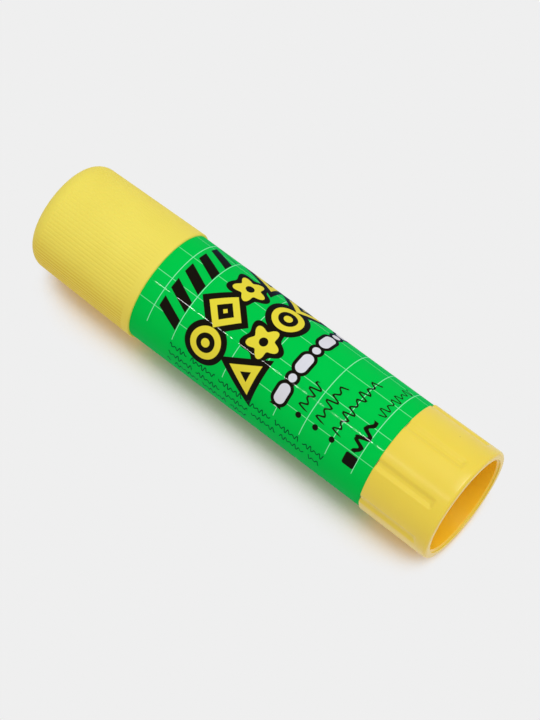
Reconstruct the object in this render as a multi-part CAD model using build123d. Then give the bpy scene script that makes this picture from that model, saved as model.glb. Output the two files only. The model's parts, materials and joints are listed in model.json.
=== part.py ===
from build123d import *
import os
from math import cos, radians, sin

# Twist-up glue stick, modelled standing on its knob and then laid on its side.
# Every length is in millimetres. Heights are measured up the stick's axis, from
# the knob's open rim (0) to the closed end of the cap (overall_length).

# Barrel: the tube under the label, with the neck that the cap closes over
label_radius = 10.5
label_length = 50.45
label_film = 0.1
neck_step = 1.1
neck_wall = 1.1
neck_length = 13.0
neck_edge_round = 0.35
neck_bead_height = 0.15
neck_bead_width = 1.2
neck_bead_rise = 3.0
label_margin = 0.05
bulkhead_thickness = 1.5

# Guide ribs in the bore, which keep the piston from turning
guide_rib_count = 4
guide_rib_width = 1.0
guide_rib_height = 0.45
guide_rib_stop = 2.5

# Knob: the fluted dial with an open foot
knob_length = 14.1
knob_collar_step = 0.26
knob_collar_wall = 1.11
knob_flare = 0.12
knob_rim_wall = 1.68
knob_rim_round = 0.6
knob_lip_round = 0.25
knob_collar_round = 0.35
recess_depth = 9.4
recess_step_width = 0.45
recess_step_depth = 0.6
knob_web_thickness = 1.2

# Flutes: shallow channels that run from the label side and stop short of the rim
flute_count = 8
flute_width = 2.3
flute_depth = 0.4
flute_rim_land = 2.1
flute_corner_round = 0.5
flute_wall_angle = 45.0
flute_phase_angle = -36.5

# Knob hub and its webs, deep inside the foot
hub_radius = 3.6
hub_length = 3.4
hub_web_count = 4
hub_web_thickness = 1.0
hub_web_length = 2.6

# Spindle: the screw that the knob turns
thread_lead = 5.0
thread_turns = 10
thread_core_radius = 2.1
thread_crest_radius = 3.0
thread_root_width = 1.9
thread_crest_width = 1.0
spindle_tip_length = 1.5
spindle_tip_round = 0.6
flange_radius = 4.6
flange_thickness = 1.2
shank_radius = 2.6
tail_across_flats = 4.0
barb_length = 1.0
barb_lip = 0.55
barb_tip_radius = 1.5
tail_slot_width = 0.7
tail_slot_length = 3.6

# Piston: the carrier that grips the foot of the glue
piston_floor = 1.4
piston_cup_height = 8.0
piston_cup_wall = 0.8
nut_wall = 1.1
nut_height = 6.6
nut_lug_turn_share = 0.45

# Glue
glue_headroom = 4.4
glue_roof_clearance = 0.6
glue_edge_round = 0.5

# Cap: outside profile, fine ribs and bore
cap_length = 23.95
cap_mouth_step = 0.38
cap_taper = 0.48
cap_corner_radius = 2.9
cap_mouth_round = 0.2
cap_end_wall = 1.2
cap_crown_wall = 1.2
cap_bore_lead = 0.6
cap_groove_height = 0.1
cap_rib_count = 90
cap_rib_depth = 0.1
cap_rib_land_share = 0.55
cap_rib_overrun = 0.02
cap_band_width = 1.3

# Sealing liner pressed into the closed end of the cap
liner_thickness = 0.8
liner_skirt_wall = 0.8
liner_reach = 1.2
liner_lead_chamfer = 0.3

# Clearances and gaps
running_clearance = 0.15
thread_clearance = 0.2
slide_clearance = 0.2
press_clearance = 0.05
knob_gap = 0.15
cap_gap = 0.1
overrun = 0.2

# Radii that follow
barrel_radius = label_radius - label_film
neck_radius = barrel_radius - neck_step
neck_bead_radius = neck_radius + neck_bead_height
bore_radius = neck_radius - neck_wall
knob_collar_radius = label_radius + knob_collar_step
knob_rim_radius = knob_collar_radius + knob_flare
flute_floor_radius = knob_collar_radius - flute_depth
collar_bore_radius = knob_collar_radius - knob_collar_wall
spigot_radius = collar_bore_radius - running_clearance
recess_radius = knob_rim_radius - knob_rim_wall
cap_mouth_radius = label_radius + cap_mouth_step
cap_crown_radius = cap_mouth_radius - cap_taper
piston_radius = bore_radius - running_clearance
glue_radius = bore_radius - slide_clearance
cup_inner_radius = piston_radius - piston_cup_wall
nut_bore_radius = thread_crest_radius + thread_clearance
nut_radius = nut_bore_radius + nut_wall
cap_bore_radius = neck_bead_radius + cap_gap
cap_end_radius = cap_crown_radius - cap_crown_wall
liner_radius = cap_end_radius - press_clearance
liner_skirt_radius = bore_radius - running_clearance
guide_rib_inner_radius = bore_radius - guide_rib_height
axis_height = max(knob_rim_radius, cap_mouth_radius)

# Heights that follow, from the rim of the knob upwards
web_bottom = recess_depth
web_top = web_bottom + knob_web_thickness
hub_bottom = web_bottom - hub_length
barrel_bottom = web_top + knob_gap
bulkhead_top = barrel_bottom + bulkhead_thickness
body_bottom = knob_length + knob_gap
shoulder = body_bottom + label_length + label_margin
neck_mouth = shoulder + neck_length
cap_mouth = shoulder + cap_gap
overall_length = cap_mouth + cap_length
cap_inner_end = overall_length - cap_end_wall
flange_bottom = bulkhead_top + running_clearance
flange_top = flange_bottom + flange_thickness
piston_bottom = flange_top + running_clearance
piston_floor_top = piston_bottom + piston_floor
piston_cup_top = piston_floor_top + piston_cup_height
nut_top = piston_floor_top + nut_height
thread_start = flange_top + thread_root_width / 2
nut_thread_start = thread_start + thread_lead / 2
piston_travel = thread_lead * thread_turns
spindle_top = nut_thread_start + piston_travel + spindle_tip_length
glue_top = neck_mouth - glue_headroom
liner_bottom = neck_mouth - liner_reach


def turned(*stations):
    """Turn a closed outline of (radius, height, corner round) about the stick's axis."""
    points = [(radius, 0, height) for radius, height, corner in stations]
    corners = [corner for radius, height, corner in stations]
    outline = FilletPolyline(*points, radius=corners, close=True)
    return revolve(make_face(outline), Axis.Z)


def disc(radius, bottom, top):
    """A plain round bar on the axis, between two heights."""
    upward = (Align.CENTER, Align.CENTER, Align.MIN)
    return Pos(0, 0, bottom) * Cylinder(radius, top - bottom, align=upward)


def around(piece, count, phase_angle=0):
    """Copies of a piece, evenly spaced around the axis."""
    return [Rot(0, 0, phase_angle + 360 * i / count) * piece for i in range(count)]


def bar(inner_radius, outer_radius, width, bottom, top):
    """A rectangular bar beside the axis, at angle zero."""
    size = (outer_radius - inner_radius, width, top - bottom)
    return Pos(inner_radius, 0, bottom) * Box(*size, align=(Align.MIN, Align.CENTER, Align.MIN))


def helical_ridge(profile, start, height):
    """Sweep a profile of (radius, rise) points up a left-hand helix of the thread's lead."""
    path = Helix(thread_lead, height, thread_core_radius, center=(0, 0, start), lefthand=True)
    points = [(radius, 0, start + rise) for radius, rise in profile]
    return sweep(make_face(Polyline(*points, close=True)), path=path, is_frenet=True)


def guide_slots(bottom, top):
    """The channels that clear the barrel's guide ribs."""
    floor_radius = guide_rib_inner_radius - slide_clearance
    width = guide_rib_width + 2 * slide_clearance
    slot = bar(floor_radius, bore_radius + overrun, width, bottom, top)
    return around(slot, guide_rib_count)


def make_barrel():
    """Tube with a stepped neck, a spigot for the knob, a bulkhead and guide ribs."""
    bead_middle = shoulder + neck_bead_rise
    bead_half = neck_bead_width / 2
    tube = turned(
        (shank_radius + running_clearance, barrel_bottom, 0),
        (spigot_radius, barrel_bottom, 0),
        (spigot_radius, body_bottom, 0),
        (barrel_radius, body_bottom, 0),
        (barrel_radius, shoulder, 0),
        (neck_radius, shoulder, 0),
        (neck_radius, bead_middle - bead_half, 0),
        (neck_bead_radius, bead_middle, 0),
        (neck_radius, bead_middle + bead_half, 0),
        (neck_radius, neck_mouth, neck_edge_round),
        (bore_radius, neck_mouth, neck_edge_round),
        (bore_radius, bulkhead_top, 0),
        (shank_radius + running_clearance, bulkhead_top, 0),
    )
    rib = bar(
        guide_rib_inner_radius,
        bore_radius + overrun,
        guide_rib_width,
        bulkhead_top - overrun,
        neck_mouth - guide_rib_stop,
    )
    return tube + around(rib, guide_rib_count)


def make_label():
    """Printed film wrapped once around the barrel's body."""
    return turned(
        (barrel_radius, body_bottom, 0),
        (label_radius, body_bottom, 0),
        (label_radius, body_bottom + label_length, 0),
        (barrel_radius, body_bottom + label_length, 0),
    )


def make_flute():
    """One channel at angle zero, wider at the surface than at its floor."""
    mouth_radius = knob_rim_radius + overrun
    depth = mouth_radius - flute_floor_radius
    spread = depth - flute_depth
    bottom = flute_rim_land - spread
    top = knob_length + depth + overrun
    centre = (mouth_radius, 0, (bottom + top) / 2)
    face = Plane(origin=centre, x_dir=(0, 0, 1), z_dir=(-1, 0, 0))
    width = flute_width + 2 * spread
    outline = RectangleRounded(top - bottom, width, flute_corner_round + spread)
    return extrude(face * outline, amount=depth, taper=flute_wall_angle)


def make_knob():
    """Fluted dial: collar over the spigot, web with a hexagonal hub, open foot."""
    shell = turned(
        (0, web_bottom, 0),
        (recess_radius, web_bottom, 0),
        (recess_radius, recess_step_depth + recess_step_width, 0),
        (recess_radius + recess_step_width, recess_step_depth, 0),
        (recess_radius + recess_step_width, 0, knob_lip_round),
        (knob_rim_radius, 0, knob_rim_round),
        (knob_collar_radius, knob_length, knob_collar_round),
        (collar_bore_radius, knob_length, 0),
        (collar_bore_radius, web_top, 0),
        (0, web_top, 0),
    )
    hub = disc(hub_radius, hub_bottom, web_bottom + overrun)
    reach = recess_radius + overrun
    hub_web_bottom = web_bottom - hub_web_length
    hub_web = bar(0, reach, hub_web_thickness, hub_web_bottom, web_bottom + overrun)
    socket = RegularPolygon(tail_across_flats / 2 + press_clearance, 6, major_radius=False)
    socket_height = web_top - hub_bottom + 2 * overrun
    hex_bore = extrude(Pos(0, 0, hub_bottom - overrun) * socket, amount=socket_height)
    knob = shell + hub + around(hub_web, hub_web_count)
    return knob - hex_bore - around(make_flute(), flute_count, flute_phase_angle)


def make_spindle():
    """Screw with a thrust flange, a round shank and a hexagonal snap-in tail."""
    tail_end = hub_bottom - press_clearance
    barb_radius = tail_across_flats / 2 + barb_lip
    core = turned(
        (0, tail_end - barb_length, 0),
        (barb_tip_radius, tail_end - barb_length, 0),
        (barb_radius, tail_end, 0),
        (0, tail_end, 0),
    )
    tail = extrude(
        Pos(0, 0, tail_end) * RegularPolygon(tail_across_flats / 2, 6, major_radius=False),
        amount=web_top + press_clearance - tail_end,
    )
    shaft = turned(
        (0, web_top + press_clearance, 0),
        (shank_radius, web_top + press_clearance, 0),
        (shank_radius, flange_bottom, 0),
        (flange_radius, flange_bottom, 0),
        (flange_radius, flange_top, 0),
        (thread_core_radius, flange_top, 0),
        (thread_core_radius, spindle_top, spindle_tip_round),
        (0, spindle_top, 0),
    )
    root = thread_core_radius - overrun
    ridge = helical_ridge(
        (
            (root, -thread_root_width / 2),
            (thread_core_radius, -thread_root_width / 2),
            (thread_crest_radius, -thread_crest_width / 2),
            (thread_crest_radius, thread_crest_width / 2),
            (thread_core_radius, thread_root_width / 2),
            (root, thread_root_width / 2),
        ),
        thread_start,
        spindle_top - spindle_tip_length - thread_start,
    )
    slot_bottom = tail_end - barb_length - overrun
    slot_top = slot_bottom + tail_slot_length
    slot = bar(-barb_radius, barb_radius, tail_slot_width, slot_bottom, slot_top)
    return core + tail + shaft + ridge - slot


def make_piston():
    """Cup that grips the glue, with a nut that rides on the spindle's thread."""
    cup = turned(
        (nut_bore_radius, piston_bottom, 0),
        (piston_radius, piston_bottom, 0),
        (piston_radius, piston_cup_top, 0),
        (cup_inner_radius, piston_cup_top, 0),
        (cup_inner_radius, piston_floor_top, 0),
        (nut_radius, piston_floor_top, 0),
        (nut_radius, nut_top, 0),
        (nut_bore_radius, nut_top, 0),
    )
    thread_height = thread_crest_radius - thread_core_radius
    flank = (thread_root_width - thread_crest_width) / thread_height
    tip = thread_core_radius + thread_clearance
    root = nut_bore_radius + overrun
    groove_width = thread_lead - thread_root_width + flank * thread_clearance
    tip_width = groove_width - 2 * thread_clearance
    root_width = tip_width + flank * (root - tip)
    lug = helical_ridge(
        (
            (tip, -tip_width / 2),
            (root, -root_width / 2),
            (root, root_width / 2),
            (tip, tip_width / 2),
        ),
        nut_thread_start,
        thread_lead * nut_lug_turn_share,
    )
    return cup - guide_slots(piston_bottom - overrun, piston_cup_top + overrun) + lug


def make_glue():
    """Cast glue: foot inside the cup, column in the bore, tunnel for the spindle."""
    tunnel_radius = thread_crest_radius + slide_clearance + press_clearance
    column = turned(
        (nut_radius + press_clearance, piston_floor_top, 0),
        (cup_inner_radius - press_clearance, piston_floor_top, 0),
        (cup_inner_radius - press_clearance, piston_cup_top, 0),
        (glue_radius, piston_cup_top, 0),
        (glue_radius, glue_top, glue_edge_round),
        (0, glue_top, 0),
        (0, spindle_top + glue_roof_clearance, 0),
        (tunnel_radius, spindle_top + glue_roof_clearance, 0),
        (tunnel_radius, nut_top + press_clearance, 0),
        (nut_radius + press_clearance, nut_top + press_clearance, 0),
    )
    return column - guide_slots(piston_cup_top - overrun, glue_top + overrun)


def ribbed_section(land_radius, height):
    """A toothed outline with one flat land and one V groove for each rib of the cap."""
    surface_radius = land_radius + cap_rib_overrun
    groove_radius = land_radius - cap_rib_depth
    slope_share = (1 - cap_rib_land_share) / 2 * (1 + cap_rib_overrun / cap_rib_depth)
    points = []
    for i in range(cap_rib_count):
        corners = (
            (slope_share, surface_radius),
            (1 - slope_share, surface_radius),
            (1, groove_radius),
        )
        for share, radius in corners:
            angle = radians(360 * (i + share) / cap_rib_count)
            points.append((radius * cos(angle), radius * sin(angle), height))
    return make_face(Polyline(*points, close=True))


def make_cap():
    """Push-on cap: fine ribs, plain band at the mouth, rounded closed end."""
    outside = turned(
        (0, cap_mouth, 0),
        (cap_mouth_radius, cap_mouth, cap_mouth_round),
        (cap_crown_radius, overall_length, cap_corner_radius),
        (0, overall_length, 0),
    )
    ribbed = loft(
        [
            ribbed_section(cap_mouth_radius, cap_mouth),
            ribbed_section(cap_crown_radius, overall_length),
        ],
        ruled=True,
    )
    sleeve = disc(cap_mouth_radius + 2 * overrun, cap_mouth + cap_band_width, overall_length)
    bead_middle = shoulder + neck_bead_rise
    bore_end = neck_mouth + cap_bore_lead
    bore = turned(
        (0, cap_mouth, 0),
        (cap_bore_radius, cap_mouth, 0),
        (cap_bore_radius, bead_middle - neck_bead_width, 0),
        (cap_bore_radius + cap_groove_height, bead_middle, 0),
        (cap_bore_radius, bead_middle + neck_bead_width, 0),
        (cap_bore_radius, bore_end, 0),
        (cap_end_radius, cap_inner_end, 0),
        (0, cap_inner_end, 0),
    )
    return outside - (sleeve - ribbed) - bore


def make_cap_liner():
    """Disc with a plug skirt that enters the neck and keeps the glue moist."""
    skirt_inner = liner_skirt_radius - liner_skirt_wall
    return turned(
        (0, cap_inner_end, 0),
        (liner_radius, cap_inner_end, 0),
        (liner_radius, cap_inner_end - liner_thickness, 0),
        (liner_skirt_radius, cap_inner_end - liner_thickness, 0),
        (liner_skirt_radius, liner_bottom + liner_lead_chamfer, 0),
        (liner_skirt_radius - liner_lead_chamfer, liner_bottom, 0),
        (skirt_inner, liner_bottom, 0),
        (skirt_inner, cap_inner_end - liner_thickness, 0),
        (0, cap_inner_end - liner_thickness, 0),
    )


def laid_down(piece):
    """Turn the standing stick onto its side: knob towards +X, cap towards -X, on z = 0."""
    return Pos(overall_length / 2, 0, axis_height) * Rot(0, -90, 0) * piece


PIECES = {
    "cap": make_cap,
    "cap_liner": make_cap_liner,
    "barrel": make_barrel,
    "label": make_label,
    "glue": make_glue,
    "piston": make_piston,
    "spindle": make_spindle,
    "knob": make_knob,
}

os.makedirs("parts", exist_ok=True)
for name, make in PIECES.items():
    piece = laid_down(make())
    export_step(piece, f"parts/{name}.step")
    print(name, round(piece.volume, 1), "mm3")

print("overall length", round(overall_length, 2), "width", round(2 * axis_height, 2))
print("piston travel", piston_travel, "over", thread_turns, "turns of the knob")
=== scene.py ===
import json
from math import atan2, cos, degrees, hypot, pi, radians, sin, tan, tau

import bmesh
import bpy
from mathutils import Matrix, Vector, noise


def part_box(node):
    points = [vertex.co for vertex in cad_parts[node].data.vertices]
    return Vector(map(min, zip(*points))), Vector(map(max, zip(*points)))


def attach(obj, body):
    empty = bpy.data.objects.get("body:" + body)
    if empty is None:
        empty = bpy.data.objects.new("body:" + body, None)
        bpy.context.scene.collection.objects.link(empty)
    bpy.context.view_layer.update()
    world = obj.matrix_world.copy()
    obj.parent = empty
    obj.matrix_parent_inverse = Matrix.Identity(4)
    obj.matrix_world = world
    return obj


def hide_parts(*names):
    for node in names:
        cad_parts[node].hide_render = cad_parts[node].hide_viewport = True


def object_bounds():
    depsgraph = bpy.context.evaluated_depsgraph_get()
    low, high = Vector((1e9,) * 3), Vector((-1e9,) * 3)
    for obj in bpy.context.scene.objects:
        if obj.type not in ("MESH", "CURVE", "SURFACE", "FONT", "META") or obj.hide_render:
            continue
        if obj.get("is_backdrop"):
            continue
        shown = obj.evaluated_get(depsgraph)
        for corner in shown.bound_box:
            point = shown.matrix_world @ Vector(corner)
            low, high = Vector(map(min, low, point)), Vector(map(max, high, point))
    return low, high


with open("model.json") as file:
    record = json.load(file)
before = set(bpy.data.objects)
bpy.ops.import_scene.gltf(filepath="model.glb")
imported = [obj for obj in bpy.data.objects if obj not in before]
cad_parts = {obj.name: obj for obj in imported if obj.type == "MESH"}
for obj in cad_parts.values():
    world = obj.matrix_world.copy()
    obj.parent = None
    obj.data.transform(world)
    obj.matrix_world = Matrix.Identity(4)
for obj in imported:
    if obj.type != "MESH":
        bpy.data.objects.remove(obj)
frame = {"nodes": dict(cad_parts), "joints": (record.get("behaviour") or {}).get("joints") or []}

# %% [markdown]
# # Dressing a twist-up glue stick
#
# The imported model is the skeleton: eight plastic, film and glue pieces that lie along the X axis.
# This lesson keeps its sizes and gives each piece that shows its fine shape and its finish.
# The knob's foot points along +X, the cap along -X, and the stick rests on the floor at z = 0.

cad_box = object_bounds()
print("The CAD model's box in metres:", cad_box)

# %% [markdown]
# ## Where the axis and the pieces are
#
# The stick is round, so nearly every number is a height along the axis or a radius. The packed
# joint of the knob says where the axis runs, and each node's farthest vertex gives its radius.
# Heights are counted in millimetres from the knob's rim, as a drawing of the stick would do.

# %% The axis, and heights counted from the knob's rim
MM = 0.001
knob_joint = next(joint for joint in frame["joints"] if joint["name"] == "knob_spin")
axis_point = Vector(knob_joint["pos_m"])
axis_direction = Vector((1, 0, 0))
rim_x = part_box("knob")[1].x


def place_of(point):
    """Height from the rim and radius in millimetres, and the angle from the top in degrees."""
    across = point.y - axis_point.y
    up = point.z - axis_point.z
    return (rim_x - point.x) / MM, hypot(across, up) / MM, degrees(atan2(across, up))


def radius_of(node):
    """The radius in millimetres of a round CAD node, from its farthest vertex."""
    return max(place_of(vertex.co)[1] for vertex in frame["nodes"][node].data.vertices)


def heights_of(node):
    """The lowest and highest height in millimetres of a CAD node."""
    low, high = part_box(node)
    return (rim_x - high.x) / MM, (rim_x - low.x) / MM


knob_top = heights_of("knob")[1]
label_start, label_end = heights_of("label")
cap_mouth, stick_length = heights_of("cap")
barrel_foot, neck_mouth = heights_of("barrel")
label_radius = radius_of("label")
knob_radius = radius_of("knob")
print("Stick", round(stick_length, 2), "mm long, label radius", round(label_radius, 2), "mm")

# %% [markdown]
# ## Turning a piece on a lathe
#
# A round moulding is an outline spun about the axis, so one helper turns every piece. A station
# of the outline is a height, a radius and the rounding of that corner. The corners are rounded
# before the spin, because a mould has no knife edges and the small arcs are what catches the light.
# Spinning hundreds of columns in one go is slow, so a slice is spun, and doubled until it closes.

# %% Helpers that turn, carve and finish a round piece
slice_count = 16


def rounded_outline(stations, steps):
    """Outline points, with an arc of a few steps at each station that has a corner radius."""
    points = []
    for i, (height, radius, corner) in enumerate(stations):
        here = Vector((height, radius))
        if not corner:
            points.append(here)
            continue
        before = (Vector(stations[i - 1][:2]) - here).normalized()
        after = (Vector(stations[(i + 1) % len(stations)][:2]) - here).normalized()
        half = before.angle(after) / 2
        centre = here + (before + after).normalized() * corner / sin(half)
        first = here + before * corner / tan(half) - centre
        last = here + after * corner / tan(half) - centre
        points += [centre + first.slerp(last, i / steps) * corner for i in range(steps + 1)]
    return points


def turned(stations, around, corner_steps=6, rings=(), wall=0):
    """Spin an outline about the axis, in a multiple of 16 columns.

    Rings are heights where the wall outside a radius is cut beforehand.
    """
    bm = bmesh.new()
    for height, radius in rounded_outline(stations, corner_steps):
        bm.verts.new((rim_x - height * MM, axis_point.y, axis_point.z + radius * MM))
    bm.verts.ensure_lookup_table()
    closed = stations[0][1] > 0
    loop = list(bm.verts)
    for start, end in zip(loop, loop[1:] + loop[:1] if closed else loop[1:]):
        bm.edges.new((start, end))
    for height in rings:
        edges = [e for e in bm.edges if min(place_of(v.co)[1] for v in e.verts) > wall]
        ends = list({v for e in edges for v in e.verts})
        cut = (rim_x - height * MM, 0, 0)
        bmesh.ops.bisect_plane(bm, geom=edges + ends, plane_co=cut, plane_no=axis_direction)
    turn = tau / slice_count
    bmesh.ops.spin(
        bm,
        geom=list(bm.verts) + list(bm.edges),
        cent=axis_point,
        axis=axis_direction,
        angle=turn,
        steps=around // slice_count,
    )
    while turn < tau * 0.99:
        whole = list(bm.verts) + list(bm.edges) + list(bm.faces)
        copied = bmesh.ops.duplicate(bm, geom=whole)["geom"]
        corners = [part for part in copied if isinstance(part, bmesh.types.BMVert)]
        spin = Matrix.Rotation(turn, 3, axis_direction)
        bmesh.ops.rotate(bm, verts=corners, cent=axis_point, matrix=spin)
        turn *= 2
    bmesh.ops.remove_doubles(bm, verts=bm.verts, dist=0.001 * MM)
    bmesh.ops.recalc_face_normals(bm, faces=bm.faces)
    return bm


def carve(bm, new_radius):
    """Move each vertex in or out to the radius that new_radius gives for its place."""
    for vertex in bm.verts:
        height, radius, angle = place_of(vertex.co)
        if radius:
            share = new_radius(height, radius, angle) / radius
            vertex.co.yz = axis_point.yz + (vertex.co.yz - axis_point.yz) * share


def add_bar(bm, low_height, high_height, inner, outer, width, angle, edge):
    """A straight bar that runs along the axis, with its long edges softened."""
    made = bmesh.ops.create_cube(bm, size=1)["verts"]
    size = Vector((high_height - low_height, width, outer - inner)) * MM
    middle = Vector((rim_x - (low_height + high_height) / 2 * MM, 0, (inner + outer) / 2 * MM))
    turn = Matrix.Rotation(radians(-angle), 4, "X")
    move = Matrix.Translation(axis_point * Vector((0, 1, 1))) @ turn @ Matrix.Translation(middle)
    bmesh.ops.transform(bm, matrix=move @ Matrix.Diagonal(size).to_4x4(), verts=made)
    edges = list({e for v in made for e in v.link_edges})
    bmesh.ops.bevel(
        bm, geom=edges, offset=edge * MM, segments=2, profile=0.5, affect="EDGES", material=-1
    )


def finish_piece(name, bm, material, body, node):
    """Make the mesh an object that rides on a body and stands for a CAD node."""
    mesh = bpy.data.meshes.new(name)
    bm.to_mesh(mesh)
    bm.free()
    mesh.shade_smooth()
    mesh.set_sharp_from_angle(angle=radians(40))
    mesh.materials.append(material)
    piece = bpy.data.objects.new(name, mesh)
    bpy.context.scene.collection.objects.link(piece)
    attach(piece, body)
    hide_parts(node)
    print(name, len(mesh.polygons), "faces")


def smooth_step(value):
    """0 below 0, 1 above 1, and an even S between them."""
    value = min(max(value, 0), 1)
    return value * value * (3 - 2 * value)


# %% [markdown]
# ## Writing a pattern as a sum
#
# A printed label is a picture made of distances: how far a point is from a line, a disc or a bar.
# Such a picture needs many Math nodes. The small class below lets the script write them as
# ordinary sums, so that a pattern reads like the formula that it is.

# %% Wires: node outputs that can be added, multiplied and compared
class Wire:
    """One output of a node. Arithmetic on wires adds Math nodes to their tree."""

    def __init__(self, socket):
        self.socket = socket
        self.tree = socket.id_data

    def math(self, operation, *others):
        node = self.tree.nodes.new("ShaderNodeMath")
        node.operation = operation
        for slot, value in zip(node.inputs, (self, *others)):
            connect(value, slot)
        return Wire(node.outputs[0])

    def __add__(self, other):
        return self.math("ADD", other)

    def __sub__(self, other):
        return self.math("SUBTRACT", other)

    def __mul__(self, other):
        return self.math("MULTIPLY", other)

    def __truediv__(self, other):
        return self.math("DIVIDE", other)

    def __abs__(self):
        return self.math("ABSOLUTE")

    def wrapped(self, pitch):
        """The distance to the nearest multiple of the pitch, with its sign."""
        return self.math("WRAP", pitch / 2, -pitch / 2)

    def least(self, other):
        return self.math("MINIMUM", other)

    def most(self, other):
        return self.math("MAXIMUM", other)

    def sine(self):
        return self.math("SINE")

    def beside(self, other):
        """The length of the diagonal of this distance and another at right angles to it."""
        return (self * self + other * other).math("SQRT")

    def below(self, edge, blur):
        """1 where the value is under the edge, 0 above it, with a blurred step."""
        node = self.tree.nodes.new("ShaderNodeMapRange")
        node.interpolation_type = "SMOOTHSTEP"
        connect(self, node.inputs["Value"])
        node.inputs["From Min"].default_value = edge - blur / 2
        node.inputs["From Max"].default_value = edge + blur / 2
        node.inputs["To Min"].default_value = 1
        node.inputs["To Max"].default_value = 0
        return Wire(node.outputs["Result"])


def connect(value, slot):
    """Plug a wire, a number or a colour into a node's socket."""
    if isinstance(value, Wire):
        slot.id_data.links.new(value.socket, slot)
    else:
        slot.default_value = value


def painted(under, over, mask):
    """Lay one colour over another where the mask is 1."""
    node = mask.tree.nodes.new("ShaderNodeMix")
    node.data_type = "RGBA"
    connect(mask, node.inputs[0])
    connect(under, node.inputs[6])
    connect(over, node.inputs[7])
    return Wire(node.outputs[2])


def srgb(red, green, blue):
    """A colour as a screen shows it, from 0 to 255, as the linear colour of a shader."""
    channels = []
    for value in (red, green, blue):
        share = value / 255
        low = share <= 0.04045
        channels.append(share / 12.92 if low else ((share + 0.055) / 1.055) ** 2.4)
    return (*channels, 1)


def new_group(name, inputs, outputs):
    """A node group with named number inputs and outputs, and its two end nodes."""
    group = bpy.data.node_groups.new(name, "ShaderNodeTree")
    for label, value in inputs.items():
        slot = group.interface.new_socket(label, in_out="INPUT", socket_type="NodeSocketFloat")
        slot.default_value = value
    for label in outputs:
        group.interface.new_socket(label, in_out="OUTPUT", socket_type="NodeSocketFloat")
    start = group.nodes.new("NodeGroupInput")
    end = group.nodes.new("NodeGroupOutput")
    return group, start, end


def place_group(tree, group, **values):
    """Put a node group into a material, and return its outputs as wires by name."""
    node = tree.nodes.new("ShaderNodeGroup")
    node.node_tree = group
    for label, value in values.items():
        connect(value, node.inputs[label.replace("_", " ").capitalize()])
    return {slot.name: Wire(slot) for slot in node.outputs}


# %% [markdown]
# ## Three effects that the plastics share
#
# Every finish needs to know where it is on the stick, so the first group turns object coordinates
# into a height, an angle and a distance around. The second is the fine grain of a moulded surface.
# The third scatters the few specks of dust and lint that cling to any real plastic.

# %% The group that says where a point lies on the stick
stick_place, _, end = new_group("stick place", {}, ("Height", "Angle", "Radius"))
coordinates = stick_place.nodes.new("ShaderNodeTexCoord")
centred = stick_place.nodes.new("ShaderNodeMapping")
centred.inputs["Location"].default_value = Vector((rim_x, -axis_point.y, -axis_point.z)) / MM
centred.inputs["Scale"].default_value = (-1 / MM, 1 / MM, 1 / MM)
split = stick_place.nodes.new("ShaderNodeSeparateXYZ")
stick_place.links.new(coordinates.outputs["Object"], centred.inputs["Vector"])
stick_place.links.new(centred.outputs["Vector"], split.inputs["Vector"])
along, across, up = (Wire(slot) for slot in split.outputs)
connect(along, end.inputs["Height"])
connect(across.math("ARCTAN2", up) * degrees(1), end.inputs["Angle"])
connect(across.beside(up), end.inputs["Radius"])

# %% The group that gives a moulded surface its grain
moulded_grain, start, end = new_group("moulded grain", {"Size": 0.2}, ("Grain", "Flow"))
coordinates = moulded_grain.nodes.new("ShaderNodeTexCoord")
fine = moulded_grain.nodes.new("ShaderNodeTexNoise")
fine.inputs["Detail"].default_value = 2
broad = moulded_grain.nodes.new("ShaderNodeTexNoise")
broad.inputs["Scale"].default_value = 0.12 / MM
broad.inputs["Detail"].default_value = 1
for texture in (fine, broad):
    moulded_grain.links.new(coordinates.outputs["Object"], texture.inputs["Vector"])
size = Wire(start.outputs["Size"])
connect(size.math("POWER", -1.0) / MM, fine.inputs["Scale"])
connect(Wire(fine.outputs["Fac"]), end.inputs["Grain"])
connect(Wire(broad.outputs["Fac"]), end.inputs["Flow"])

# %% The group that scatters dust
dust, start, end = new_group("dust", {"Spacing": 3, "Speck": 0.05}, ("Mask",))
coordinates = dust.nodes.new("ShaderNodeTexCoord")
cells = dust.nodes.new("ShaderNodeTexVoronoi")
spacing = Wire(start.outputs["Spacing"])
dust.links.new(coordinates.outputs["Object"], cells.inputs["Vector"])
connect(spacing.math("POWER", -1.0) / MM, cells.inputs["Scale"])
tint = dust.nodes.new("ShaderNodeSeparateColor")
dust.links.new(cells.outputs["Color"], tint.inputs["Color"])
empty_share = 0.55
present = Wire(tint.outputs["Red"]).math("GREATER_THAN", empty_share)
speck_size = Wire(start.outputs["Speck"]) * Wire(tint.outputs["Green"])
distance = Wire(cells.outputs["Distance"]) * spacing
connect(distance.math("LESS_THAN", speck_size) * present, end.inputs["Mask"])
print("Groups:", ", ".join(group.name for group in bpy.data.node_groups))

# %% [markdown]
# ## A plastic in one call
#
# Four of the finishes are plain moulded plastics that differ in colour, gloss and grain. One
# function builds them. Each gets its own tone variation, a faint flow pattern from the mould and
# a bump, and constant values such as the coat and the subsurface weight sit on the shader itself.
# A piece may add a tint of its own, such as painted shade in the cap's grooves and painted bounce
# light in the knob's foot.

# %% The material builder for moulded plastic
plastic_dust = srgb(120, 104, 60)
flow_tint = (0.93, 0.90, 0.80)
gloss_spread = 0.16


def add_bump(tree, shader, height, strength, reach):
    """Feed a height field to the shader's normal."""
    bump = tree.nodes.new("ShaderNodeBump")
    bump.inputs["Strength"].default_value = strength
    bump.inputs["Distance"].default_value = reach * MM
    connect(height, bump.inputs["Height"])
    tree.links.new(bump.outputs["Normal"], shader.inputs["Normal"])


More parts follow.
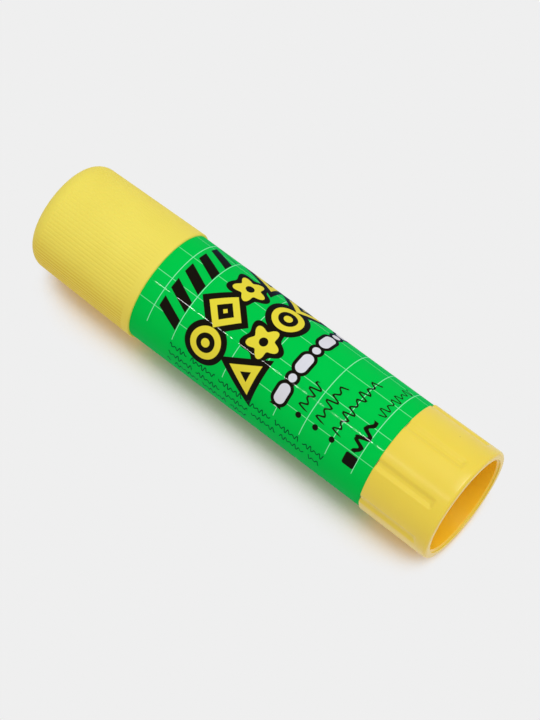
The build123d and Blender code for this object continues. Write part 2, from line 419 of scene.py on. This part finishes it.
def moulded_plastic(name, colour, roughness, grain, coat=0.0, glow=0.0, speck=0.08, tint=None):
    """A moulded plastic: base colour, mean roughness, grain size in millimetres, coat and glow.

    A tint gets the place on the stick, and returns a second colour and the mask where it lies.
    """
    material = bpy.data.materials.new(name)
    material.use_nodes = True
    tree = material.node_tree
    shader = tree.nodes["Principled BSDF"]
    surface = place_group(tree, moulded_grain, size=grain)
    specks = place_group(tree, dust, spacing=3.0, speck=speck)
    deeper = (*(channel * share for channel, share in zip(colour, flow_tint)), 1)
    tone = painted(deeper, colour, surface["Flow"].math("SMOOTH_MIN", 1.0, 0.2))
    if tint:
        tone = painted(tone, *tint(place_group(tree, stick_place)))
    connect(painted(tone, plastic_dust, specks["Mask"]), shader.inputs["Base Color"])
    gloss = surface["Grain"] * gloss_spread + (roughness - gloss_spread / 2)
    connect(gloss, shader.inputs["Roughness"])
    add_bump(tree, shader, surface["Grain"], 0.35, grain * 0.04)
    shader.inputs["Coat Weight"].default_value = coat
    shader.inputs["Coat Roughness"].default_value = 0.2
    shader.inputs["Specular IOR Level"].default_value = 0.3
    shader.inputs["Subsurface Weight"].default_value = glow
    shader.inputs["Subsurface Radius"].default_value = (1.0, 0.6, 0.2)
    shader.inputs["Subsurface Scale"].default_value = 1.0 * MM
    return material


natural_white = moulded_plastic("natural white", srgb(236, 236, 228), 0.42, 0.3, glow=0.25)
print("Made", natural_white.name)

# %% [markdown]
# ## The cap
#
# The cap is a thin matte cup with ninety fine ribs for the fingers, a plain band at its mouth and
# a well rounded end with the small dimple where the plastic entered the mould. Ribs could be a
# bump texture, but they show on the outline near the floor, so they are real: the cup is turned
# with eight columns for each rib, and every vertex of the outer wall that lies above a rib's
# groove is pulled in to it. The grooves low on the side also get painted shade, a deeper yellow,
# until the ribs show about as strongly as in the photograph.

# %% Turn the cap and cut its ribs
cap_radius = radius_of("cap")
cap_taper = 0.48
cap_corner = 3.1
cap_lip = cap_mouth - 0.06
cap_wall = 1.2
cap_bore = 9.55
gate_radius = 1.4
gate_depth = 0.15
cap_bore_end = neck_mouth + 0.6
cap_inner_radius = cap_radius - cap_taper - cap_wall
rib_count = 90
rib_columns = 8
rib_depth = 0.05
rib_groove_share = 0.5
rib_start = cap_mouth + 1.3
rib_fade = 0.5
# Painted shade: the grooves low on the side get a deeper yellow.
groove_shade_angle = 66
groove_shade_fade = 30
groove_shade_depth = 0.5
groove_shade_blur = 0.4
groove_shade_yellow = srgb(223, 195, 63)


def cap_ribs(height, radius, angle):
    """The radius of the ribbed wall: lands at the surface, with a rounded groove between them."""
    land = cap_radius - cap_taper * (height - cap_mouth) / (stick_length - cap_mouth)
    if radius < land - cap_corner or height < rib_start or radius < cap_bore + rib_depth * 2:
        return radius
    phase = angle * rib_count / 360 % 1
    from_groove = min(phase, 1 - phase) / (rib_groove_share / 2)
    groove = rib_depth * (0.5 + 0.5 * cos(pi * min(from_groove, 1)))
    return min(radius, land - groove * smooth_step((height - rib_start) / rib_fade))


def painted_groove_shade(place):
    """Painted shade: deeper yellow in grooves below an angle from the top, on the ribbed wall only.
    """
    pitch = 360 / rib_count
    groove = abs(place["Angle"].wrapped(pitch)).below(pitch * rib_groove_share / 2, pitch / 5)
    low = (abs(place["Angle"]) * -1.0).below(-groove_shade_angle, groove_shade_fade)
    ribbed = (place["Height"] * -1.0).below(-rib_start - rib_fade / 2, rib_fade)
    outside = (place["Radius"] * -1.0).below(cap_taper + groove_shade_depth - cap_radius, groove_shade_blur)
    return groove_shade_yellow, groove * low * ribbed * outside


cap = turned(
    (
        (stick_length - gate_depth, 0, 0),
        (stick_length - gate_depth, gate_radius, 0.1),
        (stick_length, gate_radius + gate_depth, 0.1),
        (stick_length, cap_radius - cap_taper, cap_corner),
        (cap_lip, cap_radius, 0.36),
        (cap_lip, cap_bore, 0.2),
        (cap_bore_end, cap_bore, 0),
        (stick_length - cap_wall, cap_inner_radius, 0.2),
        (stick_length - cap_wall, 0, 0),
    ),
    around=rib_count * rib_columns,
    corner_steps=12,
    rings=[rib_start + rib_fade * i / 4 for i in range(5)],
    wall=cap_bore + rib_depth * 2,
)
carve(cap, cap_ribs)
cap_yellow = moulded_plastic(
    "cap yellow", srgb(239, 223, 93), 0.58, 0.12, glow=0.04, tint=painted_groove_shade
)
finish_piece("ribbed_cap", cap, cap_yellow, "cap", "cap")

# %% [markdown]
# ## The seal inside the cap
#
# A white disc with a plug skirt sits in the closed end and keeps the glue moist. It shows only
# when the cap is off, so a plain turned piece with a softened skirt is enough.

# %% Turn the sealing insert
liner_foot, liner_top = heights_of("cap_liner")
liner_radius = radius_of("cap_liner")
skirt_radius = 8.05
skirt_wall = 0.8
disc_thickness = 0.8
seal = turned(
    (
        (liner_top, 0, 0),
        (liner_top, liner_radius, 0.1),
        (liner_top - disc_thickness, liner_radius, 0.1),
        (liner_top - disc_thickness, skirt_radius, 0.1),
        (liner_foot, skirt_radius, 0.3),
        (liner_foot, skirt_radius - skirt_wall, 0.1),
        (liner_top - disc_thickness, skirt_radius - skirt_wall, 0.2),
        (liner_top - disc_thickness, 0, 0),
    ),
    around=160,
    corner_steps=4,
)
finish_piece("cap_seal", seal, natural_white, "cap", "cap_liner")

# %% [markdown]
# ## The knob
#
# The knob is a glossy dial. Its eight broad flutes run in from the label's side and end in a
# rounded corner just before the rim. A flute is the set of points inside a rounded rectangle that
# is wrapped on the wall, so its depth comes from the distance to that rectangle's edge. Light that
# falls into the open foot bounces from wall to wall and comes back orange, so the foot is tinted.

# %% Turn the knob, sink its flutes and web its hub
flute_count = 8
flute_phase = -36.5
flute_width = 2.4
flute_start = 2.1
flute_corner = 0.7
flute_wall = 1.0
flute_depth = 0.34
collar_radius = label_radius + 0.26
collar_top = knob_top + 0.07
collar_wall = 1.11
collar_bore = collar_radius - collar_wall
recess_floor = 9.4
recess_radius = knob_radius - 1.68
recess_step = 0.3
recess_ledge = 0.25
web_top = 10.6
hub_radius = 3.6
hub_foot = 6.0
hub_bore = 2.4
hub_web_foot = 6.8
hub_web_top = recess_floor + 0.2
hub_web_inner = hub_bore + 0.4
hub_web_outer = recess_radius + 0.2
hub_web_width = 1.0
hub_web_edge = 0.12
hub_web_count = 4
foot_orange = srgb(252, 203, 43)
foot_tint_top = recess_floor + 0.3
foot_tint_blur = 0.2
flute_columns = 72
flute_ring_gap = 0.1
flute_end_rings = [flute_start - flute_ring_gap + flute_ring_gap * i for i in range(14)]
flute_side_rings = [4, 6, 8, 10, 12]


def flutes(height, radius, angle):
    """The radius of the knob's wall, lowered inside each flute."""
    if radius < collar_bore + collar_wall / 2:
        return radius
    pitch = 360 / flute_count
    turn = (angle - flute_phase + pitch / 2) % pitch - pitch / 2
    beside = abs(radians(turn)) * radius - flute_width / 2 + flute_corner
    beyond = flute_start - height + flute_corner
    outside = hypot(max(beside, 0), max(beyond, 0)) + min(max(beside, beyond), 0) - flute_corner
    return radius - flute_depth * smooth_step(-outside / flute_wall)


def foot_tint(place):
    """A deep orange inside the open foot."""
    inside = place["Radius"].below(recess_radius + recess_step / 2, recess_step)
    return foot_orange, inside * place["Height"].below(foot_tint_top, foot_tint_blur)


knob = turned(
    (
        (web_top, hub_bore, 0),
        (hub_foot, hub_bore, 0.1),
        (hub_foot, hub_radius, 0.2),
        (recess_floor, hub_radius, 0.2),
        (recess_floor, recess_radius, 0.5),
        (recess_step + recess_ledge, recess_radius, 0.1),
        (recess_ledge, recess_radius + recess_step, 0.1),
        (0, recess_radius + recess_step, 0.12),
        (0, knob_radius, 0.6),
        (collar_top, collar_radius, 0.15),
        (collar_top, collar_bore, 0.1),
        (web_top, collar_bore, 0.1),
    ),
    around=flute_count * flute_columns,
    rings=flute_end_rings + flute_side_rings,
    wall=collar_bore + collar_wall / 2,
)
carve(knob, flutes)
for i in range(hub_web_count):
    add_bar(
        knob,
        hub_web_foot,
        hub_web_top,
        hub_web_inner,
        hub_web_outer,
        hub_web_width,
        360 / hub_web_count * i,
        hub_web_edge,
    )
knob_yellow = moulded_plastic(
    "knob yellow", srgb(238, 213, 66), 0.34, 0.5, coat=0.45, glow=0.12, tint=foot_tint
)
finish_piece("fluted_knob", knob, knob_yellow, "knob", "knob")

# %% [markdown]
# ## The barrel, with the neck that the cap hides
#
# The barrel is natural white plastic under the label. Only its neck ever shows, when the cap is
# off: a thin tube with a snap bead near its shoulder, and four slim guide ribs inside that keep
# the glue's carrier from turning.

# %% Turn the barrel and add its guide ribs
film_room = 0.1
barrel_radius = label_radius - film_room
neck_radius = 9.3
neck_bead = 0.15
bead_height = 67.75
bead_half = 0.6
bore_radius = 8.2
shoulder = 64.75
spigot_radius = 9.5
body_start = label_start
bulkhead_top = barrel_foot + 1.5
shank_bore = 2.75
guide_count = 4
guide_inner = 7.75
guide_width = 1.0
guide_edge = 0.1
guide_stop = 2.5
guide_root = 0.2
barrel = turned(
    (
        (barrel_foot, shank_bore, 0),
        (barrel_foot, spigot_radius, 0.1),
        (body_start, spigot_radius, 0),
        (body_start, barrel_radius, 0.1),
        (shoulder, barrel_radius, 0.15),
        (shoulder, neck_radius, 0.1),
        (bead_height - bead_half, neck_radius, 0.2),
        (bead_height, neck_radius + neck_bead, 0.3),
        (bead_height + bead_half, neck_radius, 0.2),
        (neck_mouth, neck_radius, 0.35),
        (neck_mouth, bore_radius, 0.35),
        (bulkhead_top, bore_radius, 0),
        (bulkhead_top, shank_bore, 0),
    ),
    around=192,
)
for i in range(guide_count):
    add_bar(
        barrel,
        bulkhead_top - guide_root,
        neck_mouth - guide_stop,
        guide_inner,
        bore_radius + guide_root,
        guide_width,
        360 / guide_count * i,
        guide_edge,
    )
finish_piece("barrel_tube", barrel, natural_white, "barrel", "barrel")

# %% [markdown]
# ## The label
#
# The label is a strip of clear film, printed on its back and wrapped once around the barrel. Its
# ends overlap in a lap that faces away from the camera, and the edge at the knob was cut a little
# unevenly. The lap and the wavy cut are real geometry, because both catch the light, and the print
# is a material.

# %% Wrap the label's film
film_thickness = 0.085
film_start = label_start - 0.06
film_end = label_end + 0.08
lap_angle = -150
lap_step = 0.045
lap_spread = 25
cut_waves = 0.03
cut_band = 0.1
coarse_waves = 14
fine_waves = 45


def film_lap(height, radius, angle):
    """Sink the film under its own overlap, and let it rise again over a few degrees."""
    past = (lap_angle - angle) % 360
    sunk = lap_step * (1 - smooth_step(past / lap_spread))
    return radius - sunk if radius > label_radius - film_thickness / 2 else radius


label = turned(
    (
        (film_start, label_radius - film_thickness, 0),
        (film_start, label_radius, 0),
        (film_end, label_radius, 0),
        (film_end, label_radius - film_thickness, 0),
    ),
    around=528,
    rings=[label_start + 0.3, label_start + 0.6],
)
for vertex in label.verts:
    height, radius, angle = place_of(vertex.co)
    if height < label_start + cut_band:
        around = Vector((0, cos(radians(angle)), sin(radians(angle))))
        wave = noise.noise(around * coarse_waves) + 0.5 * noise.noise(around * fine_waves)
        vertex.co.x -= cut_waves * MM * (1 + min(max(wave, -1), 1))
carve(label, film_lap)

# %% [markdown]
# ## The print
#
# The design is a white squared grid on green, as on a cutting mat, with bold cut-paper shapes in
# yellow and black. Each element is a signed distance in millimetres, measured on the unrolled
# film: around the stick it is the angle times the radius, along the stick it is the distance from
# the cap's edge. A mask is 1 where that distance is below zero.

# %% Distances that draw the shapes
def disc(around, along, radius):
    return around.beside(along) - radius


def bar(around, along, half_length, half_width, corner):
    """A bar with round corners: its half length is around the stick, its half width along it."""
    past_end = (abs(around) - (half_length - corner)).most(0)
    past_side = (abs(along) - (half_width - corner)).most(0)
    return past_end.beside(past_side) - corner


def diamond(around, along, radius):
    return (abs(around) + abs(along)) * 0.7071 - radius * 0.85


def triangle(around, along, radius):
    slope = abs(around) * 0.866 - along * 0.5
    return slope.most(along).math("SMOOTH_MAX", around.beside(along) - radius, 0.4) - radius * 0.6


def flower(around, along, radius):
    petals = (around.math("ARCTAN2", along) * 5).math("COSINE") * radius * 0.2
    return around.beside(along) - petals - radius * 0.85


def scribble(around, along, height, wave, pen):
    """A wavy pen stroke around the stick, as high and low as handwriting and evenly wide."""
    phase = around * (tau / wave)
    drift = (phase / 2.7).sine() * 0.35 + 0.65
    slope = phase.math("COSINE") * drift * (height * tau / wave)
    off = abs(along - phase.sine() * drift * height)
    return off / (slope * slope + 1).math("SQRT") - pen / 2


# %% The colours of the print, and the film's material
print_green = srgb(0, 196, 72)
print_white = srgb(160, 240, 205)
print_black = srgb(22, 18, 8)
print_yellow = srgb(228, 214, 60)
print_bright = srgb(216, 216, 224)
print_small = srgb(6, 70, 42)
lap_green = srgb(0, 150, 60)
film_dust = srgb(170, 190, 170)
ink_blur = 0.07

label_film = bpy.data.materials.new("label film")
label_film.use_nodes = True
tree = label_film.node_tree
shader = tree.nodes["Principled BSDF"]
place = place_group(tree, stick_place)
along = place["Height"] * -1.0 + label_end
angle = place["Angle"]
around = angle * (radians(1) * label_radius)


def span(low, high, position):
    """How far a position lies outside a stretch, negative inside it."""
    return abs(position - (low + high) / 2) - (high - low) / 2


def arc(degrees_around):
    """An angle as a distance around the label."""
    return radians(degrees_around) * label_radius


# %% The squared grid
ring_first = 3.15
ring_pitch = 5.55
ring_count = 9
row_pitch = 30
row_first = 17
panel_low = -62
panel_high = 126
line_width = 0.11
row_width = 0.1
row_margin = 8
ring_strength = 0.9
row_strength = 0.55
last_ring = ring_first + ring_pitch * (ring_count - 1)

in_panel = span(panel_low, panel_high, angle).below(0, 0.6)
rings = abs((along - ring_first).wrapped(ring_pitch))
in_rings = span(ring_first - 1, last_ring + 1, along).below(0, 0.1)
ring_mask = rings.below(line_width / 2, ink_blur) * in_rings * in_panel
rows = abs((angle - row_first).wrapped(row_pitch)) * arc(1)
in_rows = span(panel_low + row_margin, panel_high - row_margin, angle).below(0, 0.3)
row_mask = rows.below(row_width / 2, ink_blur) * in_rows
grid_mask = (ring_mask * ring_strength).most(row_mask * row_strength)
colour = painted(print_green, print_white, grid_mask)
print(ring_count, "rings,", round(ring_pitch, 2), "mm apart")

# %% The stripes, the cut-paper shapes and the pen strokes
stripe_middle = 6.25
stripe_half = 2.3
stripe_pitch = 3.7
stripe_width = 2.1
stripe_slant = 0.45
stripes_from = -46
stripes_to = 56
leaning = around + (along - stripe_middle) * stripe_slant
stripes = abs(leaning.wrapped(stripe_pitch)) - stripe_width / 2
stripes = stripes.most(abs(along - stripe_middle) - stripe_half)
stripes = stripes.most(span(arc(stripes_from), arc(stripes_to), leaning))
colour = painted(colour, print_black, stripes.below(0, ink_blur))

shape_size = 2.9
shape_outline = 1.1
shape_band = 1.15
shape_core = 2.1
flower_eye = 0.8
cut_shapes = (
    (disc, -43, 14.4),
    (diamond, -8, 14.1),
    (flower, 27, 14.3),
    (triangle, 62, 14.9),
    (disc, 97, 14.3),
    (triangle, -45, 23.4),
    (flower, -10, 22.7),
    (disc, 25, 22.9),
    (diamond, 60, 22.7),
    (flower, 95, 22.8),
)
nearest = None
yellow = None
for shape, shape_angle, shape_along in cut_shapes:
    shape_place = (around - arc(shape_angle), along - shape_along)
    distance = shape(*shape_place, shape_size)
    if shape is flower:
        hole = disc(*shape_place, flower_eye)
        band = distance.most(hole * -1.0)
    else:
        band = (abs(distance + shape_band / 2) - shape_band / 2).least(distance + shape_core)
    nearest = distance if nearest is None else nearest.least(distance)
    yellow = band if yellow is None else yellow.least(band)
colour = painted(colour, print_black, nearest.below(shape_outline, ink_blur))
colour = painted(colour, print_yellow, yellow.below(0, ink_blur))

pill_middle = 30.5
pill_pitch = 6.4
pill_first = -38
pill_length = 1.9
pill_width = 1.05
pill_outline = 0.62
bead_radius = 0.75
pills_from = -52
pills_to = 84
from_pill = around - arc(pill_first)
from_row = along - pill_middle
pills = bar(from_pill.wrapped(pill_pitch), from_row, pill_length, pill_width, pill_width)
beads = disc((from_pill - pill_pitch / 2).wrapped(pill_pitch), from_row, bead_radius)
pills = pills.least(beads)
in_pills = span(arc(pills_from), arc(pills_to), around).below(0, ink_blur)
colour = painted(colour, print_black, pills.below(pill_outline, ink_blur) * in_pills)
colour = painted(colour, print_bright, pills.below(0, ink_blur) * in_pills)

pen_rows = ((34.8, -9), (38.4, 2), (41.9, 27))
dot_angle = -45
dot_radius = 0.55
stroke_from = -38
pen_marks = None
for row, stroke_end in pen_rows:
    dot = disc(around - arc(dot_angle), along - row, dot_radius)
    stroke = scribble(around, along - row, height=0.95, wave=1.5, pen=0.32)
    mark = dot.least(stroke.most(span(arc(stroke_from), arc(stroke_end), around)))
    pen_marks = mark if pen_marks is None else pen_marks.least(mark)
bold_row = 46.3
block_angle = -51
from_row = along - bold_row
block = bar(around - arc(block_angle), from_row, half_length=1.2, half_width=1.2, corner=0.4)
bold = scribble(around, from_row, height=0.95, wave=2.4, pen=0.75)
bold = bold.most(span(arc(-42), arc(-7), around))
light = scribble(around, from_row, height=0.85, wave=1.3, pen=0.24)
light = light.most(span(arc(-1), arc(48), around))
pen_marks = pen_marks.least(block).least(bold).least(light)
colour = painted(colour, print_black, pen_marks.below(0, ink_blur))

side_rows = ((-68, 8.6, 42.0), (-79, 8.6, 41.6), (-90, 8.6, 26.0))
word_pitch = 6.1
word_half = 2.6
for row, stroke_start, stroke_end in side_rows:
    stroke = scribble(along, around - arc(row), height=0.5, wave=0.95, pen=0.22)
    word = abs((along + row / 7).wrapped(word_pitch)) - word_half
    stroke = stroke.most(span(stroke_start, stroke_end, along)).most(word)
    colour = painted(colour, print_small, stroke.below(0, ink_blur))
print(len(cut_shapes), "cut-paper shapes and", len(pen_rows) + len(side_rows), "rows of strokes")

# %% [markdown]
# ## The film's finish
#
# The film is a soft green sheet with one sharp feature, a crease along its top that mirrors the
# strip lamp in dashes. So the clear coat is strong only on the crease, broken up by the grain. A
# faint blue sheen cools the film where it turns away from the eye.

# %% The film's lap, crease and gloss
crease_angle = -24.5
crease_width = 0.16
crease_break = 0.47
crease_blur = 0.1
film_coat = 0.04
film_roughness = 0.28
film_spread = 0.14
lap_half = 0.35
lap_blur = 0.3
surface = place_group(tree, moulded_grain, size=0.9)
specks = place_group(tree, dust, spacing=2.6, speck=0.07)
lap_line = abs(angle - lap_angle).below(lap_half, lap_blur)
colour = painted(colour, lap_green, lap_line)
colour = painted(colour, film_dust, specks["Mask"])
connect(colour, shader.inputs["Base Color"])
connect(surface["Grain"] * film_spread + film_roughness, shader.inputs["Roughness"])
crease = abs(around - arc(crease_angle)).below(crease_width / 2, crease_width / 2)
crease = crease * (surface["Grain"] * -1.0).below(-crease_break, crease_blur)
connect(crease * (1 - film_coat) + film_coat, shader.inputs["Coat Weight"])
add_bump(tree, shader, surface["Flow"] + surface["Grain"] * 0.1, 0.12, 0.05)
shader.inputs["Specular IOR Level"].default_value = 0.0
shader.inputs["Coat Roughness"].default_value = 0.04
shader.inputs["Sheen Weight"].default_value = 0.15
shader.inputs["Sheen Roughness"].default_value = 0.4
shader.inputs["Sheen Tint"].default_value = srgb(60, 160, 255)
finish_piece("label_wrap", label, label_film, "barrel", "label")
print("The label's material has", len(tree.nodes), "nodes")

# %% [markdown]
# ## The glue
#
# The glue is a waxy, slightly translucent off-white stick that was cast in the barrel, so it
# carries the grooves of the guide ribs. Its foot sits in the carrier, and a tunnel along its
# middle leaves room for the screw.

# %% Turn the glue and press the guide grooves into it
glue_foot, glue_top = heights_of("glue")
glue_radius = radius_of("glue")
carrier_top = 23.15
foot_radius = 7.2
nut_clear_radius = 4.35
nut_clear_top = 21.8
tunnel_radius = 3.25
tunnel_top = 69.15
groove_floor = 7.55
groove_half = 0.7
groove_wall = 0.12


def guide_grooves(height, radius, angle):
    """The radius of the cast column, lowered where a guide rib pressed into it."""
    if radius < groove_floor or height < carrier_top:
        return radius
    pitch = 360 / guide_count
    beside = radians(abs((angle + pitch / 2) % pitch - pitch / 2)) * radius
    return radius - (radius - groove_floor) * smooth_step((groove_half - beside) / groove_wall)


glue = turned(
    (
        (glue_top, 0, 0),
        (glue_top, glue_radius, 0.5),
        (carrier_top, glue_radius, 0),
        (carrier_top, foot_radius, 0),
        (glue_foot, foot_radius, 0),
        (glue_foot, nut_clear_radius, 0),
        (nut_clear_top, nut_clear_radius, 0),
        (nut_clear_top, tunnel_radius, 0),
        (tunnel_top, tunnel_radius, 0),
        (tunnel_top, 0, 0),
    ),
    around=480,
)
carve(glue, guide_grooves)

glue_wax = moulded_plastic(
    "glue wax", srgb(243, 242, 234), 0.34, 0.6, coat=0.15, glow=0.5, speck=0.0
)
finish_piece("glue_column", glue, glue_wax, "piston", "glue")

# %% [markdown]
# ## The pieces that stay as CAD
#
# The carrier never leaves the barrel, and of the screw only the slotted tail shows, deep in the
# knob's foot. Their CAD meshes are right as they are and only need the natural white plastic.

# %% Give the carrier and the screw their material
for node in ("piston", "spindle"):
    frame["nodes"][node].data.materials.clear()
    frame["nodes"][node].data.materials.append(natural_white)

# %% [markdown]
# ## The studio
#
# The photograph has a seamless pale ground, one big soft lamp high up behind the knob, a thin
# strip lamp that draws a bright line along the film's crease, and even fill from all around. The
# world is the fill. What the camera and a mirror see of it is one pale tone, so that no horizon
# cuts the picture. The floor is matte paper close to the stick, where it holds the soft shadow, and
# fades to the same flat tone farther out, as on a page with a cut-out photograph. The paper's
# colour is painted bounce light and shade: warm beside the yellow plastic, greyer beside the film.

# %% Floor and world
def seen_rays(tree):
    """1 for the rays that show a surface in the picture, in a mirror or through glass."""
    rays = tree.nodes.new("ShaderNodeLightPath")
    kinds = ("Is Camera Ray", "Is Glossy Ray", "Is Transmission Ray")
    camera_ray, glossy_ray, through_ray = (Wire(rays.outputs[kind]) for kind in kinds)
    return camera_ray.most(glossy_ray).most(through_ray)


ground = srgb(239, 239, 239)
painted_warm_bounce = srgb(252, 231, 192)
painted_grey_shade = srgb(226, 216, 197)
floor_size = 6.0
shadow_reach = 14 * MM
shadow_fade = 0.53
shadow_blur = 0.34
film_shadow_start = label_start + 2
film_shadow_end = label_end - 4
film_shadow_blur = 10
bm = bmesh.new()
bmesh.ops.create_grid(bm, x_segments=1, y_segments=1, size=floor_size / 2)
floor_mesh = bpy.data.meshes.new("floor")
bm.to_mesh(floor_mesh)
bm.free()
floor = bpy.data.objects.new("floor", floor_mesh)
bpy.context.scene.collection.objects.link(floor)
floor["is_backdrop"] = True
floor_paper = bpy.data.materials.new("floor paper")
floor_paper.use_nodes = True
tree = floor_paper.node_tree
paper = tree.nodes["Principled BSDF"]
height = place_group(tree, stick_place)["Height"]
beside_film = span(film_shadow_start, film_shadow_end, height).below(0, film_shadow_blur)
# The paper's colour is painted light: warm bounce beside the yellow plastic, grey shade beside the
# film.
connect(painted(painted_warm_bounce, painted_grey_shade, beside_film), paper.inputs["Base Color"])
paper.inputs["Roughness"].default_value = 0.9
paper.inputs["Specular IOR Level"].default_value = 0
openness = tree.nodes.new("ShaderNodeAmbientOcclusion")
openness.inputs["Distance"].default_value = shadow_reach
backdrop = tree.nodes.new("ShaderNodeEmission")
backdrop.inputs["Color"].default_value = ground
faded = Wire(openness.outputs["AO"]).below(shadow_fade, shadow_blur) * -1.0 + 1
blend = tree.nodes.new("ShaderNodeMixShader")
connect(faded * seen_rays(tree), blend.inputs["Fac"])
tree.links.new(paper.outputs["BSDF"], blend.inputs[1])
tree.links.new(backdrop.outputs["Emission"], blend.inputs[2])
tree.links.new(blend.outputs["Shader"], tree.nodes["Material Output"].inputs["Surface"])
floor_mesh.materials.append(floor_paper)

fill_strength = 0.64
world = bpy.data.worlds.new("studio")
bpy.context.scene.world = world
world.use_nodes = True
tree = world.node_tree
fill = tree.nodes["Background"]
fill.inputs["Color"].default_value = ground
connect(seen_rays(tree) * (1 - fill_strength) + fill_strength, fill.inputs["Strength"])
print("Floor", floor_size, "m wide, fill strength", fill_strength)

# %% Lamps
def soft_lamp(name, direction, distance, width, depth, level):
    """An area lamp that faces the stick, its width along it. Level 1 lights white to white."""
    data = bpy.data.lights.new(name, "AREA")
    data.shape = "RECTANGLE"
    data.size = width
    data.size_y = depth
    data.energy = level * pi * pi * distance * distance
    lamp = bpy.data.objects.new(name, data)
    towards = Vector(direction).normalized()
    along_stick = (axis_direction - towards * towards.x).normalized()
    turn = Matrix((along_stick, towards.cross(along_stick), towards)).transposed().to_4x4()
    lamp.matrix_world = Matrix.Translation(axis_point + towards * distance) @ turn
    bpy.context.scene.collection.objects.link(lamp)
    print(name, round(data.energy, 3), "W")


soft_lamp(
    "overhead softbox", (0.18, 0.15, 0.96), distance=2.0, width=1.1, depth=1.3, level=0.5
)
soft_lamp("strip", (-0.28, -0.454, 0.846), distance=1.5, width=0.9, depth=0.012, level=0.06)

# %% [markdown]
# ## The camera
#
# The stick was photographed from well above and from the knob's side. A long lens keeps its sides
# nearly parallel. The angles and the distance were fitted to the outline in the photograph.

# %% The photograph's camera
camera_place = Vector((0.12799, -0.15189, 0.41161))
camera_back = Vector((0.28178, -0.34047, 0.89704))
camera_right = Vector((0.77038, 0.63759, 0.0))
lens = 130.96

camera_data = bpy.data.cameras.new("camera")
camera_data.lens = lens
camera_data.sensor_width = 36
camera_data.clip_start = 0.01
camera = bpy.data.objects.new("camera", camera_data)
back = camera_back.normalized()
right = (camera_right - back * camera_right.dot(back)).normalized()
axes = Matrix((right, back.cross(right), back)).transposed().to_4x4()
camera.matrix_world = Matrix.Translation(camera_place) @ axes
bpy.context.scene.collection.objects.link(camera)
bpy.context.scene.camera = camera
bpy.context.scene.view_settings.view_transform = "Standard"
print("Camera", round((camera_place - axis_point).length, 3), "m from the stick's axis point")

# %% Both boxes, as lists of corners
boxes = {"cad": cad_box, "scene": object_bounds()}
for name, corners in boxes.items():
    boxes[name] = [list(corner) for corner in corners]
